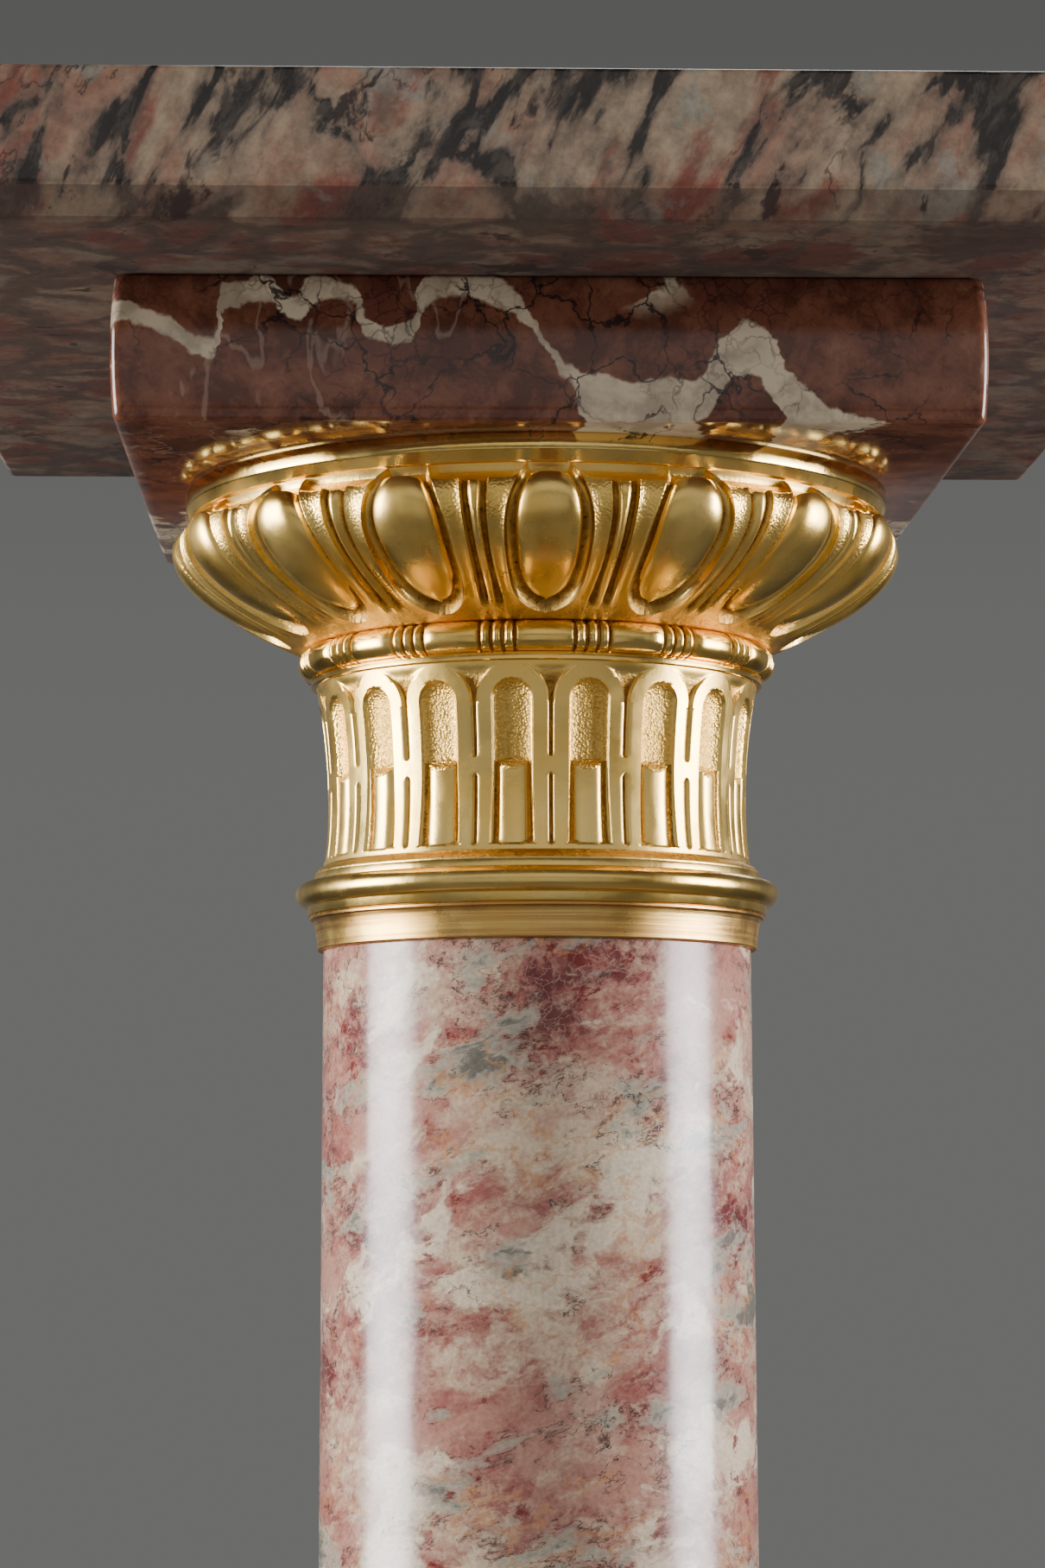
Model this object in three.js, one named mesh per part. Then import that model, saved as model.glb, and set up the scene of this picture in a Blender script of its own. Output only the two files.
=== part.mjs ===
// A pedestal column: a marble shaft with a gilt bronze capital and base, marble slabs above and below.
// Lengths are millimetres, +Z is up, and the origin is the middle of the underside.
import * as THREE from 'three';

// Marble blocks above the capital
const topSlabWidth = 340;
const topSlabHeight = 37;
const topSlabBevelHeight = 7.75;
const topSlabBevelDepth = 4.75;
const abacusWidth = 225;
const abacusHeight = 38;

// Marble blocks below the base
const plinthSlabWidth = 300;
const plinthSlabHeight = 38;
const plinthSlabBevelHeight = 7.75;
const plinthSlabBevelDepth = 4.75;
const plinthBlockWidth = 225;
const plinthBlockHeight = 50;

// Swelling of the sides of the two red blocks, and the rounding of every marble edge
const blockSwelling = 1;
const edgeRounding = 1.2;

// Marble shaft
const shaftLength = 785;
const shaftTopRadius = 59.8;
const shaftFootRadius = 62.8;

// Echinus: a turned ring over a belly carved with egg and dart
const eggCount = 16;
const ringRadius = 99;
const ringHeight = 7.5;
const ringLipHeight = 4.5;
const ringLipTaper = 0.3;
const ringUndercut = 3.4;
const bellyRadius = 101.6;
const bellyHeight = 36.1;
const bellyShoulder = 8;
const bellyFootRadius = 66;
const eggBulge = 1.2;
const eggGrooveDepth = 2.4;
const shellEdgeDepth = 0.3;
const dartGrooveDepth = 1.7;

// Astragal: long beads, each with a group of thin discs beside it
const astragalHeight = 8.4;
const astragalRadius = 67.25;
const discsPerGroup = 3;
const discPitch = 3.7;
const discGrooveDepth = 1.5;

// Neck: cabled flutes under a fillet, over an ovolo, a torus and a lower fillet
const fluteCount = 18;
const fluteTurnDegrees = 11.7;
const neckHeight = 50.1;
const neckWaistRadius = 58.7;
const neckWaistHeight = 16.4;
const neckTopFlare = 3.3;
const neckFootFlare = 1.1;
const neckFilletRadius = 63.5;
const neckFilletHeight = 2.3;
const fluteWidth = 10.9;
const fluteDepth = 2.2;
const archWidth = 18.9;
const archMargin = 0.6;
const cableHeight = 22;
const cableDip = 2;
const cableDepth = 0.3;
const slitDepth = 1.3;
const slitMargin = 1.2;
const neckOvoloRadius = 62.9;
const neckOvoloHeight = 4.85;
const neckTorusRadius = 67.6;
const neckTorusHeight = 6.75;
const neckFootFilletRadius = 64.2;
const neckFootFilletHeight = 2.6;

// Collar between the capital and the shaft
const collarTopRadius = 63.5;
const collarFootRadius = 61.6;
const collarHeight = 9.4;

// Base mouldings, a collar of their own at the foot of the shaft
const baseTorusRadius = 94;
const baseTorusHeight = 24;
const baseFilletRadius = 85;
const baseFilletHeight = 3.5;
const scotiaRadius = 71;
const scotiaHeight = 14;
const upperFilletRadius = 75;
const upperFilletHeight = 3;
const upperTorusRadius = 79;
const upperTorusHeight = 13;
const baseCollarFootRadius = 68;
const baseCollarTopRadius = 64.8;
const baseCollarHeight = 10;

// Faceting of the turned work
const turnedSegments = 36;
const arcSteps = 6;

// Levels, from the floor up
const plinthBlockLevel = plinthSlabHeight;
const baseLevel = plinthBlockLevel + plinthBlockHeight;
const baseHeight = baseTorusHeight + baseFilletHeight + scotiaHeight + upperFilletHeight + upperTorusHeight;
const baseCollarLevel = baseLevel + baseHeight;
const shaftLevel = baseCollarLevel + baseCollarHeight;
const collarLevel = shaftLevel + shaftLength;
const neckLevel = collarLevel + collarHeight;
const neckMouldingHeight = neckFootFilletHeight + neckTorusHeight + neckOvoloHeight;
const neckPieceHeight = neckMouldingHeight + neckHeight;
const astragalLevel = neckLevel + neckPieceHeight + neckFilletHeight;
const echinusLevel = astragalLevel + astragalHeight;
const abacusLevel = echinusLevel + bellyHeight + ringHeight;
const topSlabLevel = abacusLevel + abacusHeight;

const fullTurn = 2 * Math.PI;

function marble(color, roughness) {
  return new THREE.MeshStandardMaterial({ color, roughness, metalness: 0 });
}

function giltBronze(color, roughness) {
  return new THREE.MeshStandardMaterial({ color, roughness, metalness: 1 });
}

/** A level outline: its points turn once round the axis, by rising angle. */
function ring(angles, pointAt) {
  return angles.map((angle, k) => {
    const { radius, z } = pointAt(angle, k);
    return { angle, x: radius * Math.sin(angle), y: -radius * Math.cos(angle), z };
  });
}

function evenAngles(count) {
  return Array.from({ length: count }, (_, k) => (k * fullTurn) / count);
}

function plainRing(radius, z, count) {
  return ring(evenAngles(count), () => ({ radius, z }));
}

function squareRing(halfWidth, z) {
  const corners = evenAngles(4).map((angle) => angle + fullTurn / 8);
  return ring(corners, () => ({ radius: halfWidth * Math.SQRT2, z }));
}

/** Triangles between two rings, walking round both at once, whatever their counts. */
function stitch(lower, lowerStart, upper, upperStart, triangles) {
  const angleOf = (points, k) => points[k % points.length].angle + fullTurn * Math.floor(k / points.length);
  const alike = lower.length === upper.length;
  let i = 0;
  let j = 0;
  while (i < lower.length || j < upper.length) {
    const lowerNext = angleOf(lower, i + 1);
    const upperNext = angleOf(upper, j + 1);
    const lowerTurn = alike ? i <= j : lowerNext <= upperNext;
    const a = lowerStart + (i % lower.length);
    const b = upperStart + (j % upper.length);
    if (j >= upper.length || (i < lower.length && lowerTurn)) {
      i += 1;
      triangles.push(a, lowerStart + (i % lower.length), b);
    } else {
      j += 1;
      triangles.push(a, upperStart + (j % upper.length), b);
    }
  }
}

/** One closed solid from rings listed from the lowest to the highest, with flat ends. */
function solidOfRings(rings) {
  const positions = [];
  const triangles = [];
  const starts = rings.map((points) => {
    const start = positions.length / 3;
    points.forEach(({ x, y, z }) => positions.push(x, y, z));
    return start;
  });
  rings.slice(1).forEach((upper, k) => stitch(rings[k], starts[k], upper, starts[k + 1], triangles));
  const closeEnd = (points, start, facesDown) => {
    const middle = positions.length / 3;
    positions.push(0, 0, points[0].z);
    points.forEach((_, k) => {
      const here = start + k;
      const next = start + ((k + 1) % points.length);
      triangles.push(middle, facesDown ? next : here, facesDown ? here : next);
    });
  };
  closeEnd(rings[0], starts[0], true);
  closeEnd(rings.at(-1), starts.at(-1), false);
  const geometry = new THREE.BufferGeometry();
  geometry.setAttribute('position', new THREE.Float32BufferAttribute(positions, 3));
  geometry.setIndex(triangles);
  geometry.computeVertexNormals();
  return geometry;
}

/** A turned solid from a profile of (radius, height) points, closed to the axis at both ends. */
function turned(profile) {
  const points = [new THREE.Vector2(0, profile[0].y), ...profile, new THREE.Vector2(0, profile.at(-1).y)];
  return new THREE.LatheGeometry(points, turnedSegments).rotateX(Math.PI / 2);
}

/** Points of a half-round moulding, from its foot to its head. */
function torusProfile(radius, foot, height, steps = arcSteps) {
  const half = height / 2;
  return Array.from({ length: steps + 1 }, (_, k) => {
    const turn = -Math.PI / 2 + (Math.PI * k) / steps;
    return new THREE.Vector2(radius - half + half * Math.cos(turn), foot + half + half * Math.sin(turn));
  });
}

/** Points of a hollow moulding that curves from one radius and height to another. */
function hollowProfile(footRadius, foot, headRadius, head, steps) {
  const corner = footRadius > headRadius ? [headRadius, foot] : [footRadius, head];
  const curve = new THREE.QuadraticBezierCurve(
    new THREE.Vector2(footRadius, foot),
    new THREE.Vector2(...corner),
    new THREE.Vector2(headRadius, head),
  );
  return curve.getPoints(steps);
}

/** A slab with a long bevel on one edge and a small rounding on the other. */
function bevelledSlab(width, height, bevelHeight, bevelDepth, bevelBelow) {
  const half = width / 2;
  const outline = [
    [half - bevelDepth, 0],
    [half, bevelHeight],
    [half, height - edgeRounding],
    [half - edgeRounding, height],
  ];
  const placed = bevelBelow ? outline : outline.map(([x, z]) => [x, height - z]).reverse();
  return solidOfRings(placed.map(([x, z]) => squareRing(x, z)));
}

/** A square block whose sides swell out between their edges. */
function swellingBlock(width, height) {
  const half = width / 2 - blockSwelling;
  const steps = arcSteps;
  const rings = Array.from({ length: steps + 1 }, (_, k) => {
    const z = edgeRounding + ((height - 2 * edgeRounding) * k) / steps;
    const fromMiddle = (2 * z) / height - 1;
    return squareRing(half + blockSwelling * (1 - fromMiddle ** 2), z);
  });
  return solidOfRings([
    squareRing(half - edgeRounding, 0),
    ...rings,
    squareRing(half - edgeRounding, height),
  ]);
}

/** Half-width that grows from the top of a form to its widest level, then rounds in to its end. */
function pearHalfWidth(depth, { widest, widestDepth, narrowing, end, roundness }) {
  if (depth <= widestDepth) return widest * (1 - ((widestDepth - depth) / narrowing) ** 2);
  const below = Math.min((depth - widestDepth) / (end - widestDepth), 1);
  return widest * Math.sqrt(1 - below ** roundness);
}

// Outlines of one egg, its shell and the shell's outer edge: widths as shares of the pitch, depths as
// shares of the echinus's carved height, measured down from the ring
const eggOutline = { widest: 0.222, widestDepth: 0.51, narrowing: 0.61, end: 0.915, roundness: 3 };
const shellOutline = { widest: 0.316, widestDepth: 0.65, narrowing: 0.94, end: 0.93, roundness: 2.5 };
const shellEdgeOutline = { widest: 0.42, widestDepth: 0.62, narrowing: 1.15, end: 1.34, roundness: 2 };

/** The echinus's uncarved profile: a short shoulder under the ring, then the long belly. */
function bellyProfile() {
  const shoulderLevel = bellyHeight - bellyShoulder;
  const shoulder = new THREE.CubicBezierCurve(
    new THREE.Vector2(ringRadius - ringUndercut, bellyHeight),
    new THREE.Vector2(ringRadius - ringLipTaper, bellyHeight - bellyShoulder * 0.2),
    new THREE.Vector2(bellyRadius, bellyHeight - bellyShoulder * 0.52),
    new THREE.Vector2(bellyRadius, shoulderLevel),
  );
  const belly = new THREE.CubicBezierCurve(
    new THREE.Vector2(bellyRadius, shoulderLevel),
    new THREE.Vector2(bellyRadius, shoulderLevel * 0.645),
    new THREE.Vector2(bellyFootRadius + (bellyRadius - bellyFootRadius) * 0.55, shoulderLevel * 0.3),
    new THREE.Vector2(bellyFootRadius, 0),
  );
  return { shoulder, belly };
}

/** Repeats one unit of (share of the pitch, rise) columns round the axis. */
function repeatedColumns(unit, count) {
  const pitch = fullTurn / count;
  const angles = [];
  const rises = [];
  for (let k = 0; k < count; k += 1) {
    unit.forEach(([share, rise]) => {
      angles.push((k + share) * pitch);
      rises.push(rise);
    });
  }
  return { angles, rises };
}

/** A unit that is the same both ways from its middle, from the columns of its first half. */
function mirroredUnit(half, last) {
  return [...half, last, ...half.slice(1).reverse().map(([share, rise]) => [1 - share, rise])];
}

/** A piece of egg and dart, from its foot on the astragal to the flat top of its ring. */
function echinusGeometry() {
  const { shoulder, belly } = bellyProfile();
  const grooveHalf = 0.02;
  // The carving fades in over the first quarter of its depth and out at its foot
  const carvedFoot = 0.97;
  const carvedRing = (curve, share) => {
    const point = curve.getPoint(share);
    const along = curve.getTangent(share);
    const depth = (bellyHeight - point.y) / bellyHeight;
    const fade = Math.min(1, 4 * depth, Math.max(0, 20 * (carvedFoot - depth)));
    const egg = pearHalfWidth(depth, eggOutline);
    const crest = Math.max(pearHalfWidth(depth, shellOutline), egg + 2 * grooveHalf);
    const edge = pearHalfWidth(depth, shellEdgeOutline);
    const middle = egg > 0 ? eggBulge : -eggGrooveDepth;
    const half = [
      [0, middle],
      [egg * 0.6 + grooveHalf / 2, egg > 0 ? eggBulge * 0.7 : -eggGrooveDepth],
      [egg + grooveHalf, -eggGrooveDepth],
      [crest, 0],
      [edge, -shellEdgeDepth],
      [(edge + 0.5) / 2, -dartGrooveDepth],
    ];
    const { angles, rises } = repeatedColumns(mirroredUnit(half, [0.5, 0]), eggCount);
    return ring(angles, (_, k) => {
      const rise = rises[k] * fade;
      return { radius: point.x - along.y * rise, z: point.y + along.x * rise };
    });
  };
  const count = eggCount * 3;
  const ringHead = bellyHeight + ringHeight;
  return solidOfRings([
    plainRing(bellyFootRadius, 0, count),
    ...[0.95, 0.885, 0.79, 0.6, 0.3].map((share) => carvedRing(belly, share)),
    ...[0.95, 0.45].map((share) => carvedRing(shoulder, share)),
    plainRing(ringRadius - ringUndercut, bellyHeight, count),
    plainRing(ringRadius - ringLipTaper, ringHead - ringLipHeight, count),
    plainRing(ringRadius, ringHead, count),
  ]);
}

/** Beads and discs on one ring, which ends flat above and below. */
function astragalGeometry() {
  const discShare = (discPitch * eggCount) / (fullTurn * astragalRadius);
  const groupEdge = (1 - discsPerGroup * discShare) / 2;
  const beadShoulder = groupEdge * 0.7;
  const unit = [[beadShoulder, 0], [groupEdge, -discGrooveDepth]];
  for (let k = 0; k < discsPerGroup; k += 1) {
    unit.push([groupEdge + (k + 0.5) * discShare, 0], [groupEdge + (k + 1) * discShare, -discGrooveDepth]);
  }
  unit.push([1 - beadShoulder, 0]);
  const { angles, rises } = repeatedColumns(unit, eggCount);
  const half = astragalHeight / 2;
  const carvedRing = (turn) => ring(angles, (_, k) => {
    const tube = half + rises[k];
    return { radius: astragalRadius - half + tube * Math.cos(turn), z: half + half * Math.sin(turn) };
  });
  return solidOfRings([-1, -0.35, 0.35, 1].map((share) => carvedRing((share * Math.PI) / 2)));
}

/** Radius of the neck before it is carved: a waist that flares above and below. */
function neckRadius(height) {
  const fromWaist = height - neckWaistHeight;
  const flare = fromWaist > 0 ? neckTopFlare : neckFootFlare;
  const reach = fromWaist > 0 ? neckHeight - neckWaistHeight : neckWaistHeight;
  return neckWaistRadius + flare * (fromWaist / reach) ** 2;
}

/** The fluted neck with its mouldings below and its fillet above. */
function neckGeometry() {
  const pitchWidth = (fullTurn / fluteCount) * neckWaistRadius;
  const archRadius = archWidth / 2;
  const fluteRadius = fluteWidth / 2;
  const springing = neckHeight - archMargin - archRadius;
  const roundedShare = (radius, height, least) => {
    const up = Math.max(0, height - springing) / radius;
    return Math.max(least, (radius / pitchWidth) * Math.sqrt(Math.max(0, 1 - up * up)));
  };
  const carvedRing = (height, depth, cabled) => {
    const arch = roundedShare(archRadius, height, 0.16);
    const flute = roundedShare(fluteRadius, height, 0.1);
    const slit = height > neckHeight - archMargin ? 0 : slitDepth;
    const half = [
      [0, cabled ? -cableDepth : -depth],
      [flute * 0.62, cabled ? -cableDepth * 2.5 : -depth * 0.9],
      [flute * 0.86, -depth * 0.9],
      [flute, 0],
      [arch, 0],
    ];
    const { angles, rises } = repeatedColumns(mirroredUnit(half, [0.5, -slit]), fluteCount);
    const radius = neckRadius(height);
    return ring(angles, (_, k) => ({ radius: radius + rises[k], z: neckMouldingHeight + height }));
  };
  const count = fluteCount * 2;
  const torusLevel = neckFootFilletHeight;
  const ovoloLevel = torusLevel + neckTorusHeight;
  const torus = torusProfile(neckTorusRadius, torusLevel, neckTorusHeight, 4);
  const neckFoot = neckRadius(0);
  const ovolo = [0, 0.5, 1].map((share) => {
    const turn = (share * Math.PI) / 2;
    const radius = neckFoot + (neckOvoloRadius - neckFoot) * Math.cos(turn);
    return new THREE.Vector2(radius, ovoloLevel + neckOvoloHeight * Math.sin(turn));
  });
  return solidOfRings([
    plainRing(neckFootFilletRadius, 0, count),
    plainRing(neckFootFilletRadius, neckFootFilletHeight, count),
    ...torus.slice(1).map(({ x, y }) => plainRing(x, y, count)),
    ...ovolo.map(({ x, y }) => plainRing(x, y, count)),
    carvedRing(slitMargin, fluteDepth, true),
    carvedRing(cableHeight, fluteDepth, true),
    carvedRing(cableHeight + cableDip, fluteDepth, false),
    carvedRing(springing, fluteDepth, false),
    carvedRing(springing + fluteRadius * 0.85, fluteDepth * 0.6, false),
    carvedRing(springing + archRadius * 0.8, 0, false),
    carvedRing(neckHeight - archMargin / 2, 0, false),
    plainRing(neckFilletRadius, neckPieceHeight, count),
    plainRing(neckFilletRadius, neckPieceHeight + neckFilletHeight, count),
  ]);
}

function baseGeometry() {
  const filletLevel = baseTorusHeight;
  const scotiaLevel = filletLevel + baseFilletHeight;
  const upperFilletLevel = scotiaLevel + scotiaHeight;
  const upperTorusLevel = upperFilletLevel + upperFilletHeight;
  const waist = scotiaLevel + scotiaHeight * 0.6;
  return turned([
    ...torusProfile(baseTorusRadius, 0, baseTorusHeight),
    new THREE.Vector2(baseFilletRadius, filletLevel),
    new THREE.Vector2(baseFilletRadius, scotiaLevel),
    ...hollowProfile(baseFilletRadius - 1, scotiaLevel, scotiaRadius, waist, 3),
    ...hollowProfile(scotiaRadius, waist, upperFilletRadius - 0.5, upperFilletLevel, 2).slice(1),
    new THREE.Vector2(upperFilletRadius, upperFilletLevel),
    new THREE.Vector2(upperFilletRadius, upperTorusLevel),
    ...torusProfile(upperTorusRadius, upperTorusLevel, upperTorusHeight, 3),
  ]);
}

function collarGeometry(footRadius, headRadius, height) {
  return turned(hollowProfile(footRadius, 0, headRadius, height, 3));
}

function shaftGeometry() {
  return turned([new THREE.Vector2(shaftFootRadius, 0), new THREE.Vector2(shaftTopRadius, shaftLength)]);
}

function piece(name, geometry, material, level, turnDegrees = 0) {
  const mesh = new THREE.Mesh(geometry, material);
  mesh.name = name;
  mesh.position.z = level;
  mesh.rotation.z = THREE.MathUtils.degToRad(turnDegrees);
  return mesh;
}

const column = new THREE.Group();
column.add(
  piece(
    'plinth_slab',
    bevelledSlab(plinthSlabWidth, plinthSlabHeight, plinthSlabBevelHeight, plinthSlabBevelDepth, false),
    marble('#b9a596', 0.18),
    0,
  ),
  piece(
    'plinth_block',
    swellingBlock(plinthBlockWidth, plinthBlockHeight),
    marble('#6d4438', 0.16),
    plinthBlockLevel,
  ),
  piece('base_mouldings', baseGeometry(), giltBronze('#c8a05a', 0.24), baseLevel),
  piece(
    'base_collar',
    collarGeometry(baseCollarFootRadius, baseCollarTopRadius, baseCollarHeight),
    giltBronze('#bf9a55', 0.32),
    baseCollarLevel,
  ),
  piece('shaft', shaftGeometry(), marble('#c9b3ac', 0.12), shaftLevel),
  piece(
    'capital_collar',
    collarGeometry(collarFootRadius, collarTopRadius, collarHeight),
    giltBronze('#bf9a55', 0.32),
    collarLevel,
  ),
  piece('capital_neck', neckGeometry(), giltBronze('#cda75f', 0.26), neckLevel, fluteTurnDegrees),
  piece('capital_astragal', astragalGeometry(), giltBronze('#c8a05a', 0.24), astragalLevel),
  piece('capital_echinus', echinusGeometry(), giltBronze('#c8a05a', 0.24), echinusLevel),
  piece('abacus_block', swellingBlock(abacusWidth, abacusHeight), marble('#6d4438', 0.16), abacusLevel),
  piece(
    'top_slab',
    bevelledSlab(topSlabWidth, topSlabHeight, topSlabBevelHeight, topSlabBevelDepth, true),
    marble('#b9a596', 0.18),
    topSlabLevel,
  ),
);

export default column;
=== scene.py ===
# A marble pedestal column with a gilt bronze capital, dressed over its fixed frame.
# Lengths are metres, in the frame's own axes: +Z up, -Y towards the photograph's viewer.
import math

import bpy
import numpy as np
from mathutils import Matrix, Vector


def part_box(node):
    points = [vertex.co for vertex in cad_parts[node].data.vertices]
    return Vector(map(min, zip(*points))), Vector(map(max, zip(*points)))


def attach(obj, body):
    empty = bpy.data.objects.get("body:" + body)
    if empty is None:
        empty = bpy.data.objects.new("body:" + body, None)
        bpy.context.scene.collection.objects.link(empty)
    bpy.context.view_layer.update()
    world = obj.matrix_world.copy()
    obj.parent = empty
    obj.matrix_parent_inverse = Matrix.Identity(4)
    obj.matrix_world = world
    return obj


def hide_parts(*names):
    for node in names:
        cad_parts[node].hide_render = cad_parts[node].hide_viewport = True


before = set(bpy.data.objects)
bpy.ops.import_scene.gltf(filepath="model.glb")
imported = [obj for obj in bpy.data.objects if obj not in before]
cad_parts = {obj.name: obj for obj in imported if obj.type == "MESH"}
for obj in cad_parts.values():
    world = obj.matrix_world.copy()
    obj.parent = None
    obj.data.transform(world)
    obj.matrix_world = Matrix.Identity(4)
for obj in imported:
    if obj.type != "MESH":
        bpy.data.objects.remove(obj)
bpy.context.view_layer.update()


# The plinth slab: the lowest piece, a square slab of cream and pink marble with dark veins.
# It is sawn, bevelled on its upper edge and polished, and the column simply stands on it.
FULL_TURN = 2 * math.pi


def arc(centre_r, centre_z, radius, start, end, steps):
    """Points of a round moulding, in (radius, height), between two angles in degrees."""
    turns = np.radians(np.linspace(start, end, steps + 1))
    return [(centre_r + radius * math.cos(t), centre_z + radius * math.sin(t)) for t in turns]


def put(name, data):
    """A new object in the scene."""
    made = bpy.data.objects.new(name, data)
    bpy.context.scene.collection.objects.link(made)
    return made


def lofted(name, rings, crease):
    """A closed mesh over rings of points, lowest first; their counts may differ by a whole factor."""
    verts = np.concatenate(rings)
    starts = np.cumsum([0] + [len(r) for r in rings])
    faces = [tuple(range(starts[1] - 1, -1, -1))]
    for k, (lower, upper) in enumerate(zip(rings, rings[1:])):
        n, m = len(lower), len(upper)
        few = min(n, m)
        low, high = n // few, m // few
        for i in range(few):
            bottom = [starts[k] + (i * low + j) % n for j in range(low + 1)]
            top = [starts[k + 1] + (i * high + j) % m for j in range(high + 1)]
            faces.append(tuple(bottom + top[::-1]))
    faces.append(tuple(range(starts[-2], starts[-1])))
    mesh = bpy.data.meshes.new(name)
    mesh.from_pydata(verts.tolist(), [], faces)
    mesh.shade_smooth()
    mesh.set_sharp_from_angle(angle=math.radians(crease))
    return put(name, mesh)


def rounded_square(half, z, corner, side_points, corner_points):
    """One ring of a square block with rounded upright corners."""
    middle = half - corner
    quarter = arc(middle, middle, corner, 0, 90, corner_points)
    quarter += [(middle * s, half) for s in np.linspace(1, -1, side_points + 2)[1:-1]]
    points = []
    for turn in np.arange(4) * math.pi / 2:
        cosine, sine = math.cos(turn), math.sin(turn)
        points += [(x * cosine - y * sine, x * sine + y * cosine, z) for x, y in quarter]
    return np.array(points)


def chipped(rings, amount, seed):
    """Rings whose points are knocked in here and there, as the worn edge of a stone is."""
    random = np.random.default_rng(seed)
    knocks = np.clip(random.normal(0.0, 1.0, len(rings[0])) - 1.5, 0, None) * amount
    return [np.column_stack([r[:, :2] * (1 - knocks / np.abs(r[:, :2]).max(axis=1))[:, None], r[:, 2]])
            for r in rings]


def srgb(red, green, blue):
    """A colour as the eye reads it, 0 to 255, turned into the shader's linear values."""
    return tuple((c / 255 / 12.92) if c <= 10 else ((c / 255 + 0.055) / 1.055) ** 2.4
                 for c in (red, green, blue)) + (1.0,)


class Finish:
    """A node material for one finish, with short words for the few nodes it is made of."""

    def __init__(self, name):
        self.material = bpy.data.materials.new(name)
        self.material.use_nodes = True
        self.tree = self.material.node_tree
        self.shader = self.tree.nodes["Principled BSDF"]

    def node(self, kind, inputs=(), **settings):
        made = self.tree.nodes.new(kind)
        for key, value in settings.items():
            setattr(made, key, value)
        for key, value in dict(inputs).items():
            self.feed(made.inputs[key], value)
        return made

    def feed(self, socket, value):
        if isinstance(value, bpy.types.NodeSocket):
            self.tree.links.new(value, socket)
        else:
            socket.default_value = value

    def place(self, scale=(1, 1, 1), turn=(0, 0, 0), shift=(0, 0, 0)):
        """The object's own coordinates, turned and then stretched."""
        coords = self.node("ShaderNodeTexCoord").outputs["Object"]
        inputs = {"Vector": coords, "Rotation": [math.radians(t) for t in turn], "Location": shift}
        turned = self.node("ShaderNodeMapping", inputs).outputs[0]
        return self.node("ShaderNodeMapping", {"Vector": turned, "Scale": scale}).outputs[0]

    def noise(self, scale, place, detail=5.0, roughness=0.55):
        inputs = {"Vector": place, "Scale": scale, "Detail": detail, "Roughness": roughness}
        return self.node("ShaderNodeTexNoise", inputs).outputs["Fac"]

    def warped(self, place, scale, amount):
        """Coordinates pushed about by a noise, so that straight patterns run wild."""
        inputs = {"Vector": place, "Scale": scale, "Detail": 4.0}
        colour = self.node("ShaderNodeTexNoise", inputs).outputs["Color"]
        centred = self.vector("SUBTRACT", {0: colour, 1: (0.5, 0.5, 0.5)})
        pushed = self.vector("SCALE", {0: centred, "Scale": amount})
        return self.vector("ADD", {0: place, 1: pushed})

    def vector(self, operation, inputs):
        return self.node("ShaderNodeVectorMath", inputs, operation=operation).outputs[0]

    def cells(self, scale, place):
        """How far each spot is from the nearest crack between cells."""
        inputs = {"Vector": place, "Scale": scale}
        return self.node("ShaderNodeTexVoronoi", inputs, feature="DISTANCE_TO_EDGE").outputs["Distance"]

    def ramp(self, value, low, high, from_low=0.0, from_high=1.0):
        """A soft step: from_low below low and from_high above high."""
        inputs = {"Value": value, "From Min": low, "From Max": high, "To Min": from_low, "To Max": from_high}
        return self.node("ShaderNodeMapRange", inputs, interpolation_type="SMOOTHSTEP").outputs["Result"]

    def ribbon(self, value, middle, half_width, soft):
        """1 where a noise is near a middle value: a wandering vein."""
        away = self.math("ABSOLUTE", self.math("SUBTRACT", value, middle))
        return self.ramp(away, half_width, half_width + soft, 1.0, 0.0)

    def math(self, operation, first, second=0.5, third=0.5):
        made = self.node("ShaderNodeMath", {0: first, 1: second, 2: third}, operation=operation)
        return made.outputs[0]

    def times(self, first, second):
        return self.math("MULTIPLY", first, second)

    def mix(self, share, first, second, blend="MIX"):
        made = self.node("ShaderNodeMix", data_type="RGBA", blend_type=blend)
        for index, value in ((0, share), (6, first), (7, second)):
            self.feed(made.inputs[index], value)
        return made.outputs[2]

    def dimmed(self, colour, grey):
        """A colour multiplied by a number."""
        return self.mix(1.0, colour, self.mix(grey, (0, 0, 0, 1), (1, 1, 1, 1)), "MULTIPLY")

    def held(self, name):
        """A number kept on the mesh's points, such as how deep a spot lies in the carving."""
        return self.node("ShaderNodeAttribute", attribute_name=name).outputs["Fac"]

    def bump(self, height, distance, strength, under=None):
        inputs = {"Height": height, "Distance": distance, "Strength": strength}
        if under is not None:
            inputs["Normal"] = under
        return self.node("ShaderNodeBump", inputs).outputs[0]

    def surface(self, colour, roughness, normal=None, **plain):
        self.feed(self.shader.inputs["Base Color"], colour)
        self.feed(self.shader.inputs["Roughness"], roughness)
        if normal is not None:
            self.feed(self.shader.inputs["Normal"], normal)
        for key, value in plain.items():
            self.shader.inputs[key].default_value = value
        return self.material


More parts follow.
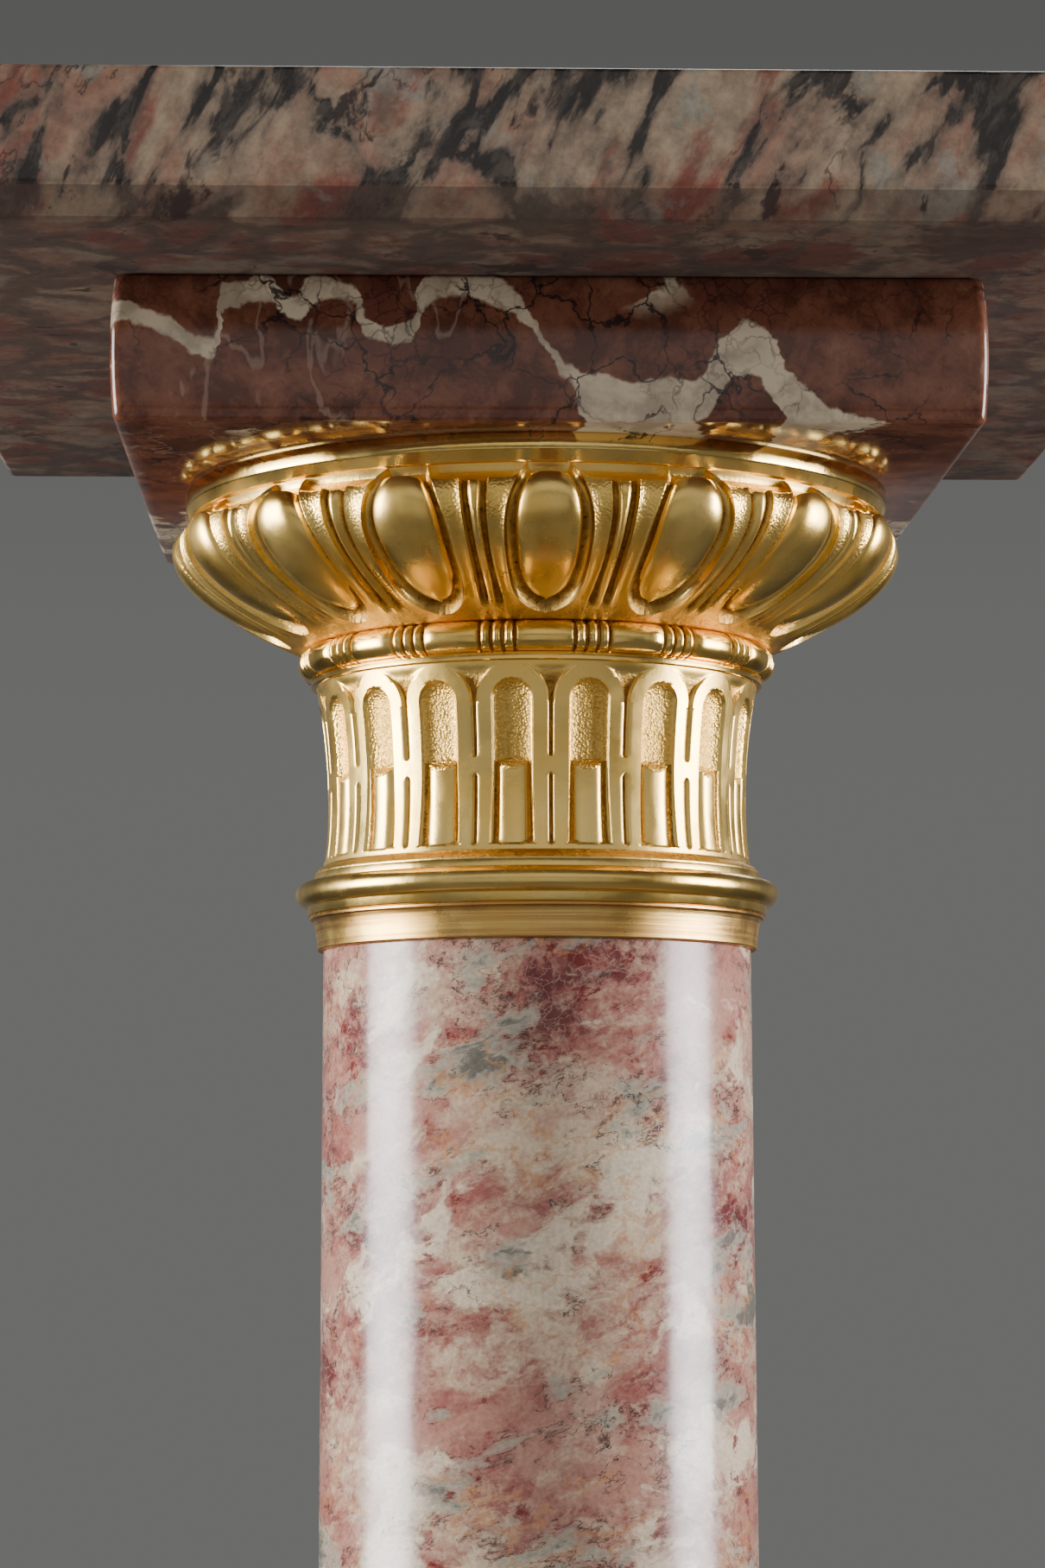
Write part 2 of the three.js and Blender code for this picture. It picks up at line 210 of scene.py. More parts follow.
def cream_marble():
    """Cream and salmon marble, broken by ragged slanting veins of black and grey."""
    stone = Finish("cream_marble")
    slant = stone.place(scale=(1.0, 1.0, 0.4), turn=(0, -27, 14), shift=(0.05, 0.0, 0.0))
    wild = stone.warped(slant, 34.0, 0.016)
    crumpled = stone.warped(wild, 120.0, 0.007)
    mottle = stone.noise(50.0, crumpled, 8.0, 0.6)
    colour = stone.mix(stone.ramp(mottle, 0.4, 0.6), srgb(214, 186, 154), srgb(198, 146, 120))
    rose = stone.noise(44.0, wild, 8.0, 0.56)
    colour = stone.mix(stone.ramp(rose, 0.5, 0.59, 0.0, 0.9), colour, srgb(172, 88, 70))
    colour = stone.mix(stone.ramp(rose, 0.64, 0.7, 0.0, 0.8), colour, srgb(122, 50, 44))
    frost = stone.noise(46.0, stone.warped(stone.place(), 60.0, 0.02), 10.0, 0.64)
    colour = stone.mix(stone.ramp(frost, 0.54, 0.62, 0.0, 0.7), colour, srgb(186, 182, 166))
    # Faces that look downwards get painted shade: a dark brown colour and fainter veins, as in the shadow
    # under the slab. They are also rougher, as sawn stone is.
    normal = stone.node("ShaderNodeNewGeometry").outputs["True Normal"]
    facing = stone.node("ShaderNodeSeparateXYZ", {0: normal})
    sawn_and_shaded = stone.ramp(facing.outputs[2], -0.7, -0.2, 1.0, 0.0)
    seam = stone.math("ADD", stone.cells(42.0, crumpled),
                      stone.ramp(stone.noise(130.0, wild, 8.0, 0.62), 0.3, 0.7, 0.08, -0.08))
    strength = stone.noise(14.0, stone.place(shift=(0.37, 0.1, 0.0)), 3.0)
    inside = stone.math("SUBTRACT", stone.ramp(strength, 0.38, 0.62, -0.03, 0.12), seam)
    colour = stone.mix(stone.ramp(inside, -0.12, 0.01, 0.0, 0.7), colour, srgb(142, 122, 106))
    flecks = stone.ramp(stone.noise(210.0, crumpled, 8.0, 0.7), 0.46, 0.6, 0.0, 0.8)
    dark = stone.mix(flecks, srgb(36, 32, 30), srgb(104, 92, 82))
    fading = stone.math("MULTIPLY_ADD", sawn_and_shaded, -0.6, 1.0)
    veined = stone.times(stone.ramp(inside, -0.02, 0.035, 0.0, 0.94), fading)
    colour = stone.mix(veined, colour, dark)
    thin = stone.ribbon(stone.noise(34.0, wild, 10.0, 0.6), 0.5, 0.001, 0.01)
    some = stone.ramp(stone.noise(25.0, slant, 3.0), 0.46, 0.56, 0.0, 0.75)
    colour = stone.mix(stone.times(thin, some), colour, srgb(74, 52, 48))
    clots = stone.ramp(stone.noise(60.0, crumpled, 6.0, 0.6), 0.62, 0.67, 0.0, 0.9)
    colour = stone.mix(clots, colour, srgb(58, 34, 37))
    cloud = stone.ramp(stone.noise(160.0, stone.place(), 10.0, 0.72), 0.34, 0.66, 0.44, 0.76)
    colour = stone.dimmed(colour, cloud)
    # Painted shade on the downward faces.
    colour = stone.mix(stone.times(sawn_and_shaded, 0.68), colour, srgb(52, 34, 27))
    gloss = stone.ramp(stone.noise(40.0, stone.place(), 3.0), 0.35, 0.7, 0.14, 0.22)
    polish = stone.math("MULTIPLY_ADD", sawn_and_shaded, 0.6, gloss)
    waves = stone.bump(stone.noise(150.0, stone.place()), 0.0001, 0.25)
    return stone.surface(colour, polish, waves, IOR=1.5)


SLAB_CORNER, SLAB_KNOCKS = 0.0016, 0.0004
BEVEL_TALL, BEVEL_DEEP = 0.00775, 0.00475


def stone_slab(name, bevel_below, seed):
    """A square slab with one long bevel; its other edges are rounded by a millimetre."""
    low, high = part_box(name)
    half = high[0]
    edge, tiny = 0.0012, 0.0004
    tall = high[2] - low[2]
    bevelled = [(half - BEVEL_DEEP - tiny * 2, 0.0), (half - BEVEL_DEEP - tiny * 0.3, tiny * 0.6)]
    bevelled += [(half - BEVEL_DEEP * (1 - t), BEVEL_TALL * t) for t in (0.08, 0.5, 0.94)]
    bevelled += [(half - tiny * 0.1, BEVEL_TALL + tiny)]
    straight = [(half, BEVEL_TALL + (tall - edge - BEVEL_TALL) * t) for t in (0.08, 0.5, 1.0)]
    rounded = arc(half - edge, tall - edge, edge, 0, 90, 5)[1:]
    outline = bevelled + straight + rounded
    if not bevel_below:
        outline = [(r, tall - z) for r, z in outline][::-1]
    rings = [rounded_square(r, low[2] + z, SLAB_CORNER, side_points=90, corner_points=6) for r, z in outline]
    return lofted(name + "_stone", chipped(rings, SLAB_KNOCKS, seed), crease=25)


marble_cream = cream_marble()
plinth_slab = stone_slab("plinth_slab", bevel_below=False, seed=3)
plinth_slab.data.materials.append(marble_cream)
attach(plinth_slab, "root")
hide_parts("plinth_slab")


# The plinth block: a square block of red-brown marble whose four sides swell out a little.
# It is cut from one stone, polished all round and bedded on the slab below.
BAND_COURSE = (
    (-120, 20), (-111, 27), (-98, 24), (-87, 18), (-83, 31), (-73, 34), (-66, 28), (-59, 32), (-51, 30),
    (-45, 21), (-37, 23), (-31, 33), (-18, 35), (-7, 29), (2, 13), (11, 5), (26, 3), (42, 10), (50, 19),
    (60, 7), (76, -4), (120, -14),
)
BAND_REACH = 120
BAND_LOWEST, BAND_RANGE = -20.0, 60.0
BAND_SINKING, BAND_FRONT = 160.0, 0.11


def placed_band(stone, place):
    """How far above the abacus's main cream band a spot lies, in millimetres.

    The band runs through listed points, in millimetres to the right of the front's middle
    and above the block's foot, and sinks towards the back.
    """
    parts = stone.node("ShaderNodeSeparateXYZ", {0: place}).outputs
    sunk = stone.math("MULTIPLY_ADD", parts[1], BAND_SINKING, BAND_SINKING * BAND_FRONT)
    along = stone.math("MULTIPLY_ADD", parts[0], 1000 / (2 * BAND_REACH), 0.5)
    course = stone.node("ShaderNodeFloatCurve", {"Value": along})
    curve = course.mapping.curves[0]
    spots = [((x + BAND_REACH) / (2 * BAND_REACH), (z - BAND_LOWEST) / BAND_RANGE) for x, z in BAND_COURSE]
    curve.points[0].location = spots[0]
    curve.points[1].location = spots[-1]
    for spot in spots[1:-1]:
        curve.points.new(*spot)
    course.mapping.update()
    level = stone.math("MULTIPLY_ADD", course.outputs[0], BAND_RANGE, BAND_LOWEST)
    height = stone.math("MULTIPLY_ADD", parts[2], 1000.0, -1000.0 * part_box("abacus_block")[0][2])
    return stone.math("ADD", stone.math("SUBTRACT", height, level), sunk)


def red_marble():
    """Red-brown marble with wandering cream bands and a net of fine black cracks."""
    stone = Finish("red_marble")
    place = stone.place(shift=(0.02, 0.01, 0.05))
    wild = stone.warped(place, 34.0, 0.02)
    lumps = stone.noise(60.0, wild, 12.0, 0.72)
    colour = stone.mix(stone.ramp(lumps, 0.4, 0.58), srgb(83, 46, 33), srgb(118, 72, 52))
    colour = stone.mix(stone.ramp(lumps, 0.57, 0.66, 0.0, 0.7), colour, srgb(138, 94, 70))
    dusk = stone.noise(20.0, stone.warped(place, 50.0, 0.02), 8.0, 0.6)
    colour = stone.mix(stone.ramp(dusk, 0.5, 0.64, 0.0, 0.55), colour, srgb(92, 48, 40))
    speck = stone.ramp(stone.noise(420.0, place, 6.0, 0.7), 0.56, 0.66, 0.0, 0.5)
    colour = stone.mix(speck, colour, srgb(74, 38, 32))
    grain_place = stone.warped(stone.warped(stone.place(), 60.0, 0.012), 300.0, 0.0025)
    above = stone.math("ABSOLUTE", placed_band(stone, grain_place))
    across = stone.node("ShaderNodeSeparateXYZ", {0: grain_place}).outputs[0]
    width = stone.math("ADD", stone.ramp(stone.noise(30.0, stone.place(), 3.0), 0.36, 0.64, 2.0, 5.0),
                       stone.ramp(across, 0.002, 0.012, 0.0, 3.6))
    main = stone.ramp(stone.math("SUBTRACT", above, width), -0.6, 0.6, 1.0, 0.0)
    course_place = stone.place(scale=(1.0, 1.0, 1.3), shift=(0.95, 0.45, 0.2))
    course = stone.noise(9.0, stone.warped(course_place, 26.0, 0.03), 5.0)
    ragged = stone.math("ADD", course, stone.times(stone.math("SUBTRACT", lumps, 0.5), 0.05))
    clear = stone.ramp(above, 24.0, 34.0)
    band = stone.times(stone.ribbon(ragged, 0.6, 0.012, 0.008), clear)
    patch = stone.ramp(stone.noise(15.0, stone.warped(place, 60.0, 0.016), 8.0), 0.69, 0.705)
    cloudy = stone.noise(70.0, wild, 8.0, 0.6)
    cream = stone.mix(stone.ramp(cloudy, 0.4, 0.62), srgb(204, 186, 158), srgb(164, 148, 126))
    bands = stone.math("MAXIMUM", main, stone.math("MAXIMUM", band, patch))
    colour = stone.mix(bands, colour, cream)
    upright = stone.warped(stone.place(scale=(1, 1, 0.35)), 60.0, 0.012)
    wisps = stone.ribbon(stone.noise(17.0, upright, 5.0), 0.46, 0.002, 0.006)
    colour = stone.mix(stone.times(wisps, 0.3), colour, srgb(176, 150, 130))
    net = stone.cells(62.0, stone.warped(stone.warped(place, 60.0, 0.02), 220.0, 0.007))
    where = stone.ramp(stone.noise(34.0, place, 4.0), 0.42, 0.58)
    crack = stone.times(stone.ramp(net, 0.008, 0.035, 1.0, 0.0), where)
    colour = stone.mix(stone.times(crack, 0.9), colour, srgb(28, 22, 23))
    fine = stone.cells(150.0, stone.warped(place, 170.0, 0.01))
    fine_crack = stone.times(stone.ramp(fine, 0.01, 0.06, 0.6, 0.0), stone.ramp(dusk, 0.42, 0.6))
    colour = stone.mix(fine_crack, colour, srgb(44, 28, 27))
    polish = stone.ramp(stone.noise(45.0, place, 3.0), 0.35, 0.7, 0.1, 0.17)
    return stone.surface(colour, polish, stone.bump(stone.noise(150.0, place), 0.0001, 0.2), IOR=1.5)


BLOCK_SWELLING, BLOCK_CORNER, BLOCK_KNOCKS = 0.001, 0.003, 0.0003


def swelling_block(name, seed):
    """A square block with cushioned sides and softly rounded edges and corners."""
    low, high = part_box(name)
    tall = high[2] - low[2]
    half = high[0]
    edge = 0.0012
    heights = np.linspace(edge, tall - edge, 15)
    sides = [(half - BLOCK_SWELLING * (2 * z / tall - 1) ** 2, z) for z in heights]
    foot = half - BLOCK_SWELLING - edge
    outline = [(foot, 0.0), (foot + edge * 0.6, edge * 0.25)] + sides
    outline += [(foot + edge * 0.6, tall - edge * 0.25), (foot, tall)]
    rings = [rounded_square(r, low[2] + z, BLOCK_CORNER, side_points=70, corner_points=8)
             for r, z in outline]
    return lofted(name + "_stone", chipped(rings, BLOCK_KNOCKS, seed), crease=38)


marble_red = red_marble()
plinth_block = swelling_block("plinth_block", seed=5)
plinth_block.data.materials.append(marble_red)
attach(plinth_block, "root")
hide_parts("plinth_block")


# The base mouldings: two rolls with a hollow between them, cast in bronze, turned and gilt.
# They are bedded on the plinth block and carry the shaft, in keeping with the capital's neck.
EASING = 0.0003


def turned_ring(radius, z, count):
    turns = np.arange(count) * FULL_TURN / count
    return np.column_stack([radius * np.sin(turns), -radius * np.cos(turns), np.full(count, z)])


def turned_piece(name, outline, level, count=240):
    return lofted(name, [turned_ring(r, level + z, count) for r, z in outline], crease=30)


def roll(radius, foot, tall, steps, reach=90):
    """A half-round band that stands out to a radius."""
    return arc(radius - tall / 2, foot + tall / 2, tall / 2, -reach, reach, steps)


def fillet(radius, foot, head):
    """A narrow upright band, eased at both edges."""
    return [(radius, foot + EASING), (radius, head - EASING)]


def keep_on_points(piece, **values):
    """Stores, at each point, how much patina and painted shade darken the mesh, and how matted and burnished
    it is, for the finish to read.
    """
    for name in ("hollow", "matted", "burnished"):
        layer = piece.data.attributes.new(name, "FLOAT", "POINT")
        numbers = np.zeros(len(piece.data.vertices)) + values.get(name, 0.0)
        layer.data.foreach_set("value", numbers.astype(np.float32))


def gilt_bronze(name, brushed=False):
    """Burnished gilding: bright on what stands out, brown and matt in the hollows and pits, the brown being
    partly patina and partly painted shade.
    """
    gilt = Finish(name)
    place = gilt.place()
    hollow, matted, burnished = map(gilt.held, ("hollow", "matted", "burnished"))
    tone = gilt.ramp(gilt.noise(34.0, place, 5.0), 0.36, 0.66)
    gold = gilt.mix(tone, srgb(255, 219, 132), srgb(253, 208, 110))
    worn = gilt.ramp(gilt.noise(80.0, place, 8.0, 0.65), 0.55, 0.72, 0.0, 0.25)
    gold = gilt.mix(worn, gold, srgb(228, 184, 124))
    gold = gilt.mix(gilt.times(matted, 0.6), gold, srgb(248, 204, 104))
    # Brown where the mesh's points are marked: patina in the grooves, and painted shade in the coves, at the
    # collars' feet and on the belly's lower part.
    blotch = gilt.ramp(gilt.noise(300.0, place, 6.0, 0.65), 0.34, 0.6, 0.7, 1.05)
    shade = gilt.math("MINIMUM", gilt.times(gilt.ramp(hollow, 0.2, 0.95, 0.0, 0.95), blotch), 1.0)
    gold = gilt.mix(shade, gold, srgb(164, 112, 44))
    grain = gilt.noise(760.0, place, 4.0, 0.7)
    pits = gilt.times(gilt.ramp(grain, 0.56, 0.66, 0.0, 0.85), gilt.ramp(hollow, 0.3, 0.85))
    gold = gilt.mix(pits, gold, srgb(66, 36, 16))
    smear = gilt.ramp(gilt.noise(60.0, place, 5.0), 0.35, 0.7, 0.24, 0.36)
    rough = gilt.math("ADD", smear, gilt.times(matted, 0.12))
    rough = gilt.math("ADD", rough, gilt.times(shade, 0.16))
    rough = gilt.math("SUBTRACT", rough, gilt.times(burnished, 0.15))
    if brushed:
        streaks = gilt.noise(1.0, gilt.place(scale=(7.0, 7.0, 520.0)), 8.0, 0.7)
        gold = gilt.mix(gilt.ramp(streaks, 0.36, 0.64, 0.1, 0.85), gold, srgb(178, 124, 76))
        lines = gilt.noise(1.0, gilt.place(scale=(3.0, 3.0, 2600.0)), 3.0, 0.7)
        normal = gilt.bump(lines, 0.00015, 0.7)
    else:
        stipple = gilt.node("ShaderNodeTexVoronoi", {"Vector": place, "Scale": 1300.0}).outputs["Distance"]
        punched = gilt.times(stipple, matted)
        soft = gilt.noise(160.0, place, 3.0)
        normal = gilt.bump(soft, 0.0005, 0.22)
        normal = gilt.bump(punched, 0.0005, 0.7, normal)
        normal = gilt.bump(gilt.times(grain, gilt.ramp(hollow, 0.15, 0.7)), 0.0008, 0.7, normal)
    return gilt.surface(gold, rough, normal, Metallic=1.0)


def scotia(foot_radius, waist_radius, head_radius, low, high):
    """A hollow moulding between two fillets, deepest a little above its middle."""
    points = []
    inwards = waist_radius - (foot_radius + head_radius) / 2
    for t in np.linspace(0, 1, 15):
        reach = math.sin(math.pi * t) ** 0.75
        chord = foot_radius + (head_radius - foot_radius) * t
        points.append((chord + inwards * reach, low + (high - low) * t))
    return points


gilding = gilt_bronze("gilt_bronze")
base_low, base_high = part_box("base_mouldings")
lower_roll, lower_fillet, hollow_tall, upper_fillet, upper_roll = 0.024, 0.0035, 0.014, 0.003, 0.013
fillet_level = lower_roll
scotia_level = fillet_level + lower_fillet
upper_level = scotia_level + hollow_tall
roll_level = upper_level + upper_fillet
lower_radius, waist, upper_radius, upper_roll_radius = 0.085, 0.0705, 0.075, 0.079
shade_radius, shade_width = 0.083, 0.012
base_outline = [(base_high[0] - lower_roll / 2 - 0.004, 0.0)]
base_outline += roll(base_high[0], 0.0, lower_roll, 20)
base_outline += [(lower_radius - 0.0002, fillet_level)] + fillet(lower_radius, fillet_level, scotia_level)
base_outline += scotia(lower_radius - 0.0005, waist, upper_radius - 0.0005, scotia_level, upper_level)
base_outline += fillet(upper_radius, upper_level, roll_level)
base_outline += roll(upper_roll_radius, roll_level, upper_roll, 14)
base = turned_piece("base_mouldings_gilt", base_outline, base_low[2])
base_reach = np.hypot(*np.array([v.co[:2] for v in base.data.vertices]).T)
# Painted shade, with patina: the mouldings darken the further in they lie, most in the scotia.
base_hollow = np.clip((shade_radius - base_reach) / shade_width, 0, 1) * 0.35
keep_on_points(base, hollow=base_hollow, burnished=0.5)
base.data.materials.append(gilding)
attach(base, "root")
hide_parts("base_mouldings")


# The base collar: a thin turned ring of gilt bronze, brushed by the lathe, at the shaft's foot.
# It covers the joint between marble and bronze, as the one under the capital does.
LIP_TALL = 0.0009


def collar_outline(foot_radius, head_radius, tall):
    """A hollow flare between two narrow lips, the wider one at whichever end is wider."""
    points = [(foot_radius - EASING, 0.0), (foot_radius, EASING), (foot_radius, LIP_TALL)]
    slim, wide = sorted((foot_radius, head_radius))
    for t in np.linspace(0.06, 0.94, 14):
        bend = 1 - math.sqrt(1 - (t if head_radius > foot_radius else 1 - t) ** 2)
        points.append((slim + (wide - slim) * bend * 0.92, LIP_TALL + (tall - 2 * LIP_TALL) * t))
    points += [(head_radius, tall - LIP_TALL), (head_radius, tall - EASING), (head_radius - EASING, tall)]
    return points


def collar(node, foot_radius, head_radius):
    low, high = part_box(node)
    tall = high[2] - low[2]
    piece = turned_piece(node + "_gilt", collar_outline(foot_radius, head_radius, tall), low[2])
    heights = (np.array([v.co[2] for v in piece.data.vertices]) - low[2]) / tall
    # Painted shade, with patina: darker towards the collar's foot, where it meets the piece below.
    keep_on_points(piece, hollow=np.clip(1 - heights * 14, 0, 1) * 0.6)
    piece.data.materials.append(brushed_gilding)
    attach(piece, "root")
    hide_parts(node)


brushed_gilding = gilt_bronze("brushed_gilt_bronze", brushed=True)
collar("base_collar", foot_radius=0.0679, head_radius=0.0648)


# The shaft: one turned piece of cream, pink and raspberry marble, a little wider at its foot.
# It is polished to a high gloss and stands between the two collars.
def shaft_marble():
    """Cream and pink marble clouded with raspberry, with grey-green drifts and dark threads."""
    stone = Finish("shaft_marble")
    place = stone.place(scale=(1.0, 1.0, 1.5), turn=(12, 18, 0))
    wild = stone.warped(place, 24.0, 0.03)
    ground = stone.noise(24.0, wild, 10.0, 0.64)
    colour = stone.mix(stone.ramp(ground, 0.42, 0.56), srgb(220, 196, 166), srgb(190, 140, 122))
    berry = stone.noise(26.0, stone.warped(stone.warped(place, 30.0, 0.03), 120.0, 0.01), 13.0, 0.72)
    veiled = stone.noise(150.0, wild, 9.0, 0.72)
    softer = stone.times(stone.ramp(berry, 0.4, 0.54), stone.ramp(veiled, 0.38, 0.58, 0.35, 0.95))
    colour = stone.mix(softer, colour, srgb(158, 92, 84))
    colour = stone.mix(stone.ramp(berry, 0.54, 0.63, 0.0, 0.92), colour, srgb(104, 44, 46))
    drift_place = stone.place(scale=(1.0, 1.0, 2.2), turn=(0, 14, 0), shift=(0.4, 0.1, 0.3))
    drift = stone.noise(22.0, stone.warped(stone.warped(drift_place, 26.0, 0.03), 110.0, 0.01), 12.0, 0.66)
    colour = stone.mix(stone.ramp(drift, 0.53, 0.61, 0.0, 0.85), colour, srgb(172, 170, 152))
    colour = stone.mix(stone.ramp(drift, 0.59, 0.65, 0.0, 0.85), colour, srgb(98, 94, 86))
    rim = stone.times(stone.ribbon(drift, 0.538, 0.002, 0.009), stone.ramp(veiled, 0.42, 0.54))
    colour = stone.mix(stone.times(rim, 0.9), colour, srgb(72, 60, 56))
    milk = stone.noise(28.0, stone.warped(wild, 70.0, 0.016), 10.0, 0.62)
    colour = stone.mix(stone.ramp(milk, 0.56, 0.63, 0.0, 0.85), colour, srgb(234, 214, 186))
    ochre = stone.ribbon(stone.noise(21.0, stone.warped(place, 60.0, 0.02), 8.0), 0.44, 0.002, 0.012)
    colour = stone.mix(stone.times(ochre, 0.45), colour, srgb(208, 146, 90))
    thread_noise = stone.noise(17.0, stone.warped(place, 70.0, 0.02), 10.0, 0.64)
    threads = stone.ribbon(thread_noise, 0.53, 0.0008, 0.004)
    where = stone.ramp(stone.noise(19.0, place, 3.0), 0.46, 0.58)
    colour = stone.mix(stone.times(threads, where), colour, srgb(70, 56, 54))
    sparks = stone.ramp(stone.noise(95.0, wild, 10.0, 0.72), 0.57, 0.62)
    sparks = stone.times(sparks, stone.ramp(berry, 0.46, 0.56))
    colour = stone.mix(stone.times(sparks, 0.9), colour, srgb(118, 34, 34))
    fissures = stone.ramp(stone.cells(210.0, stone.warped(place, 260.0, 0.006)), 0.0, 0.05, 0.4, 0.0)
    fissures = stone.times(fissures, stone.ramp(berry, 0.5, 0.62))
    colour = stone.mix(fissures, colour, srgb(212, 172, 158))
    grain = stone.ramp(stone.noise(800.0, stone.place(), 3.0), 0.3, 0.7, 0.78, 1.0)
    colour = stone.dimmed(colour, grain)
    polish = stone.ramp(stone.noise(30.0, place, 4.0), 0.35, 0.7, 0.15, 0.24)
    return stone.surface(colour, polish, stone.bump(stone.noise(60.0, place, 4.0), 0.0002, 0.18), IOR=1.54)


shaft_low, shaft_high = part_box("shaft")
shaft_foot, shaft_head = 0.0628, 0.0598
shaft_tall = shaft_high[2] - shaft_low[2]
shaft_edge, shaft_swelling = 0.0004, 0.0004
shaft_outline = [(shaft_foot - shaft_edge, 0.0)]
for t in np.linspace(0, 1, 33):
    swell = shaft_swelling * t * (1 - t)
    height = shaft_edge + (shaft_tall - 2 * shaft_edge) * t
    shaft_outline.append((shaft_foot + (shaft_head - shaft_foot) * t + swell, height))
shaft_outline.append((shaft_head - shaft_edge, shaft_tall))
shaft = turned_piece("shaft_stone", shaft_outline, shaft_low[2], count=288)
shaft.data.materials.append(shaft_marble())
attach(shaft, "root")
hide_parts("shaft")


# The capital's collar: the brushed ring of gilt bronze that closes the joint over the shaft.
# It is turned like the lower one, but flares upwards to meet the fillet of the neck.
collar("capital_collar", foot_radius=0.0616, head_radius=0.0635)


# The neck: a gilt bronze casting with cabled flutes under round arches, chased and burnished.
# The flutes' upper halves are punched matt; below them run an ovolo, a torus and a fillet.
def smooth(value, low, high):
    """A soft step from 0 at low to 1 at high."""
    t = np.clip((value - low) / (high - low), 0, 1)
    return t * t * (3 - 2 * t)


FLUTES = 18
FLUTE_TURN = math.radians(11.7)
neck_low, neck_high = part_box("capital_neck")
MOULDING_TALL = 0.0142
FLUTED_TALL = 0.0501
WAIST_RADIUS, WAIST_HEIGHT = 0.0587, 0.0164
TOP_FLARE, FOOT_FLARE = 0.0033, 0.0011
NECK_PITCH = FULL_TURN / FLUTES * WAIST_RADIUS
ARCH_HALF, FLUTE_HALF, CABLE_HALF, SLIT_HALF = 0.00945, 0.00545, 0.0042, 0.0007
FLUTE_SPREAD = 0.0006
SPRINGING = FLUTED_TALL - 0.0006 - ARCH_HALF
FLUTE_FOOT = 0.0012
CABLE_TOP = 0.0238
BRIDGE_LOW, BRIDGE_HIGH = 0.0203, 0.0248
FLUTE_DEPTH, SCOOP_WIDTH = 0.0025, 0.0036
SLIT_DEPTH = 0.0015
FILLET_RADIUS, CREVICE_RADIUS = 0.0635, 0.0625


def neck_radius(height):
    rise = height - WAIST_HEIGHT
    above = TOP_FLARE * (rise / (FLUTED_TALL - WAIST_HEIGHT)) ** 2
    below = FOOT_FLARE * (rise / WAIST_HEIGHT) ** 2
    return WAIST_RADIUS + (above if rise > 0 else below)


def arched(x, y, half):
    """How far outside a round-topped upright shape a point lies; negative inside."""
    return np.where(y > SPRINGING, np.hypot(x, y - SPRINGING), x) - half


def arch_half(y, half, least):
    """Half-width of such a shape at a height, but never under a least one."""
    return max(least, math.sqrt(max(0.0, half ** 2 - max(0.0, y - SPRINGING) ** 2)))


def flute_spread(y):
    """How much further out a flute's side lies at a height than above the cables."""
    return FLUTE_SPREAD * (1 - smooth(y, 0.0, CABLE_TOP))


def neck_relief(x, y):
    """The carving's height at x from a flute's middle and y above the neck's foot, and two masks."""
    flute_half = FLUTE_HALF + flute_spread(y)
    in_flute = np.minimum(-arched(x, y, flute_half), y - FLUTE_FOOT)
    depth = (1 - (1 - np.clip(in_flute / SCOOP_WIDTH, 0, 1)) ** 2.4) ** 0.75
    floor = -FLUTE_DEPTH * depth
    across = np.clip(x / CABLE_HALF, 0, 1)
    round_end = np.sqrt(1 - across ** 2)
    lower_lip = CABLE_TOP - 0.0022 * round_end
    upper_lip = CABLE_TOP + 0.0013 * round_end
    crown = -0.0019 + 0.0017 * np.sqrt(np.clip(1 - across ** 2.6, 0, 1))
    scoop = smooth(y, lower_lip - 0.0001, upper_lip)
    cable = crown * (1 - scoop) + floor * scoop
    cabled = (x < CABLE_HALF) & (y < upper_lip) & (y > FLUTE_FOOT * 0.5)
    relief = np.where(cabled, np.maximum(cable, floor), floor)
    past_arch = arched(x, y, ARCH_HALF)
    to_slit = NECK_PITCH / 2 - x
    in_upper = SLIT_HALF - np.hypot(to_slit, np.clip(BRIDGE_HIGH + SLIT_HALF - y, 0, None))
    in_lower = SLIT_HALF - np.hypot(to_slit, np.clip(y - BRIDGE_LOW + SLIT_HALF, 0, None)
                                    + np.clip(FLUTE_FOOT + SLIT_HALF - y, 0, None))
    in_spandrel = np.where(y > SPRINGING - 0.001, past_arch, -1.0)
    in_slit = np.maximum(np.maximum(in_upper, in_lower), in_spandrel)
    slit = smooth(in_slit, -0.0001, 0.00055) * (1 - smooth(y, SPRINGING + 0.0045, FLUTED_TALL - 0.0002))
    relief = relief - SLIT_DEPTH * slit
    on_cable = (x < CABLE_HALF) & (y < lower_lip)
    # Painted shade, with patina: the flutes darken with their depth, and the slits and the narrow grooves
    # beside the cables darken more.
    hollow = np.clip(np.where(on_cable, 0.0, depth * 0.42) + slit * 0.8, 0, 1)
    in_side_groove = np.clip(1 - np.abs(x - (CABLE_HALF + flute_half) / 2) / 0.0006, 0, 1)
    hollow = np.where((y < CABLE_TOP) & (in_flute > 0.0001), in_side_groove * 0.9, hollow)
    matted = np.where(on_cable, 0.0, smooth(in_flute, 0.0002, 0.0008))
    return relief, hollow, matted


def spread(breaks, counts):
    """Columns between break points: each stretch is divided evenly."""
    columns = []
    for start, end, count in zip(breaks, breaks[1:], counts):
        columns += [start + (end - start) * k / count for k in range(count)]
    return columns


def carved_ring(columns, copies, turn, ring_at):
    """One ring of a repeated unit, given by the columns of its first half as shares of the pitch."""
    unit = np.array(columns + [0.5] + [1 - c for c in columns[:0:-1]])
    pitch = FULL_TURN / copies
    angles = (np.arange(copies)[:, None] + unit[None, :]).ravel() * pitch + turn
    folded = np.tile(np.minimum(unit, 1 - unit), copies)
    radius, z, values = ring_at(folded)
    points = np.column_stack([radius * np.sin(angles), -radius * np.cos(angles), z])
    return points, values


